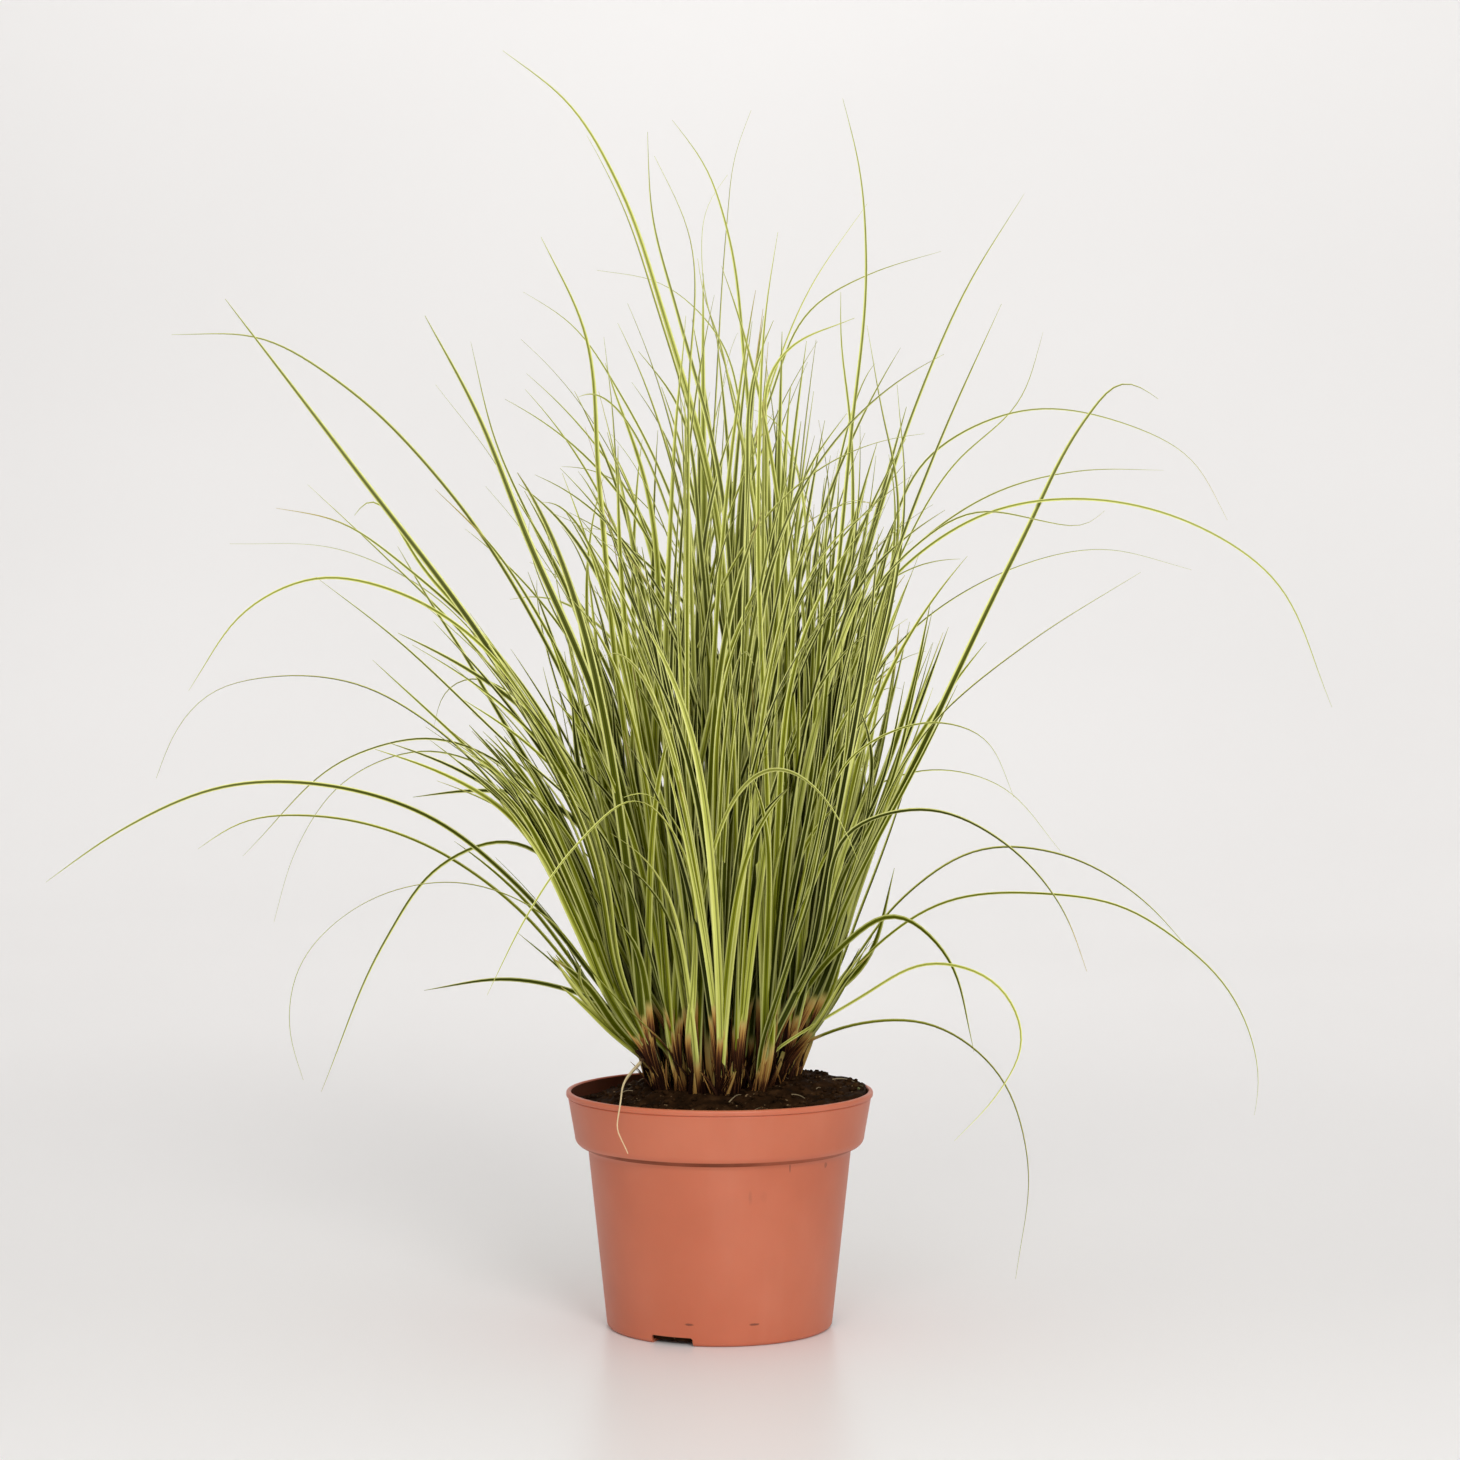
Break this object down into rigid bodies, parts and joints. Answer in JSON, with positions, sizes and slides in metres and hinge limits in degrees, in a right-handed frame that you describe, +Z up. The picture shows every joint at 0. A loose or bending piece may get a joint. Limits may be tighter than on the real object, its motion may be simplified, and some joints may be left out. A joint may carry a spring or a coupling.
{
  "type": "potted ornamental grass clump",
  "caption": "Clump of fine arching ornamental grass growing in compost in a terracotta-coloured plastic nursery pot with a stepped rim band.",
  "frame": {"origin": "middle of the pot's flat underside, on the surface that the pot stands on", "axes": "+Z up along the pot's axis; -Y is the front, the side the picture shows; +X to the right seen from the front"},
  "size_m": [0.5237, 0.4372, 0.533],
  "materials": {
    "pot_plastic": "satin",
    "compost": "matte",
    "grass_centre": "satin",
    "grass_middle": "satin",
    "grass_outer": "satin"
  },
  "bodies": {
    "root": {"pot": "pot_plastic", "shoot_centre_01": "grass_centre", "shoot_centre_02": "grass_centre", "shoot_centre_03": "grass_centre", "shoot_centre_04": "grass_centre", "shoot_centre_05": "grass_centre", "shoot_centre_06": "grass_centre", "shoot_centre_07": "grass_centre", "shoot_middle_01": "grass_middle", "shoot_middle_02": "grass_middle", "shoot_middle_03": "grass_middle", "shoot_middle_04": "grass_middle", "shoot_middle_05": "grass_middle", "shoot_middle_06": "grass_middle", "shoot_middle_07": "grass_middle", "shoot_middle_08": "grass_middle", "shoot_middle_09": "grass_middle", "shoot_middle_10": "grass_middle", "shoot_middle_11": "grass_middle", "shoot_middle_12": "grass_middle", "shoot_middle_13": "grass_middle", "shoot_outer_01": "grass_outer", "shoot_outer_02": "grass_outer", "shoot_outer_03": "grass_outer", "shoot_outer_04": "grass_outer", "shoot_outer_05": "grass_outer", "shoot_outer_06": "grass_outer", "shoot_outer_07": "grass_outer", "shoot_outer_08": "grass_outer", "shoot_outer_09": "grass_outer", "shoot_outer_10": "grass_outer", "shoot_outer_11": "grass_outer", "shoot_outer_12": "grass_outer", "shoot_outer_13": "grass_outer", "shoot_outer_14": "grass_outer", "shoot_outer_15": "grass_outer", "shoot_outer_16": "grass_outer", "shoot_outer_17": "grass_outer", "shoot_outer_18": "grass_outer", "soil": "compost"}
  },
  "joints": []
}
